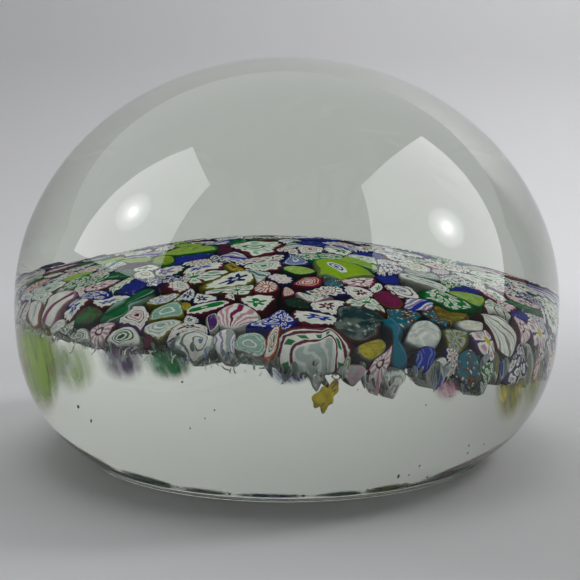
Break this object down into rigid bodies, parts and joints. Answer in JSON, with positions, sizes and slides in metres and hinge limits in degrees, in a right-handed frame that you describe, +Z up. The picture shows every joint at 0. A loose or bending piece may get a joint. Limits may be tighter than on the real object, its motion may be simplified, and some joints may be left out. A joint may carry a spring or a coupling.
{
  "type": "glass paperweight",
  "caption": "Clear domed glass paperweight with a scrambled carpet of millefiori cane chips sealed inside and a flat ground foot.",
  "frame": {"origin": "centre of the flat foot, on the surface that the paperweight stands on", "axes": "+Z up through the top of the dome, +Y towards the back, +X to the right; the cane carpet leans a little towards +X"},
  "size_m": [0.08, 0.08, 0.058],
  "materials": {
    "clear_glass": "polished, clear with a faint grey-green tint",
    "cane_lime": "fused coloured glass cane, semi-opaque",
    "cane_green": "fused coloured glass cane, semi-opaque",
    "cane_mint": "fused coloured glass cane, semi-opaque",
    "cane_teal": "fused coloured glass cane, semi-opaque",
    "cane_cobalt": "fused coloured glass cane, semi-opaque",
    "cane_lilac": "fused coloured glass cane, semi-opaque",
    "cane_amethyst": "fused coloured glass cane, semi-opaque",
    "cane_ruby": "fused coloured glass cane, semi-opaque",
    "cane_orange": "fused coloured glass cane, semi-opaque",
    "cane_yellow": "fused coloured glass cane, semi-opaque",
    "cane_rose": "fused coloured glass cane, semi-opaque",
    "cane_white": "fused coloured glass cane, semi-opaque",
    "cane_mixed": "fused coloured glass cane, semi-opaque"
  },
  "bodies": {
    "root": {"base_gather": "clear_glass", "lime_oval_cane": "cane_lime", "lilac_ringed_cane": "cane_lilac", "amethyst_cane": "cane_amethyst", "white_eye_cane": "cane_white", "lime_shard_cane": "cane_lime", "lime_band_cane": "cane_lime", "blue_star_cane": "cane_cobalt", "white_cog_cane": "cane_white", "red_ring_cane": "cane_ruby", "orange_cog_cane": "cane_orange", "coral_cog_cane": "cane_orange", "green_star_cane": "cane_green", "green_leaf_cane": "cane_green", "star_pair_cane": "cane_cobalt", "pink_ribbed_cane": "cane_rose", "purple_dot_cane": "cane_lilac", "cobalt_flower_cane": "cane_cobalt", "arched_stripe_cane": "cane_ruby", "orange_stripe_cane": "cane_orange", "teal_speckle_cane": "cane_teal", "teal_rod_cane": "cane_teal", "yellow_eye_cane": "cane_yellow", "frosted_cane": "cane_white", "cobalt_disc_cane": "cane_cobalt", "yellow_daisy_cane": "cane_lilac", "white_petal_cane": "cane_white", "green_cluster_cane": "cane_green", "magenta_cane": "cane_amethyst", "teal_scroll_cane": "cane_teal", "mint_oval_cane": "cane_mint", "mint_lobe_cane": "cane_mint", "green_rod_cane": "cane_green", "green_arch_cane": "cane_green", "maroon_cane": "cane_ruby", "cobalt_bloom_cane": "cane_cobalt", "pink_rod_cane": "cane_rose", "cane_bundle_01": "cane_mixed", "cane_bundle_02": "cane_mixed", "cane_bundle_03": "cane_mixed", "cane_bundle_04": "cane_mixed", "cane_bundle_05": "cane_mixed", "cane_bundle_06": "cane_mixed", "cane_bundle_07": "cane_mixed", "cane_bundle_08": "cane_mixed", "cane_bundle_09": "cane_mixed", "cane_bundle_10": "cane_mixed", "cane_bundle_11": "cane_mixed", "cane_bundle_12": "cane_mixed", "cane_bundle_13": "cane_mixed", "cane_bundle_14": "cane_mixed", "cane_bundle_15": "cane_mixed", "cane_bundle_16": "cane_mixed", "cane_bundle_17": "cane_mixed", "cane_bundle_18": "cane_mixed", "cane_bundle_19": "cane_mixed", "cane_bundle_20": "cane_mixed", "cane_bundle_21": "cane_mixed", "cane_bundle_22": "cane_mixed", "crown_gather": "clear_glass"}
  },
  "joints": []
}
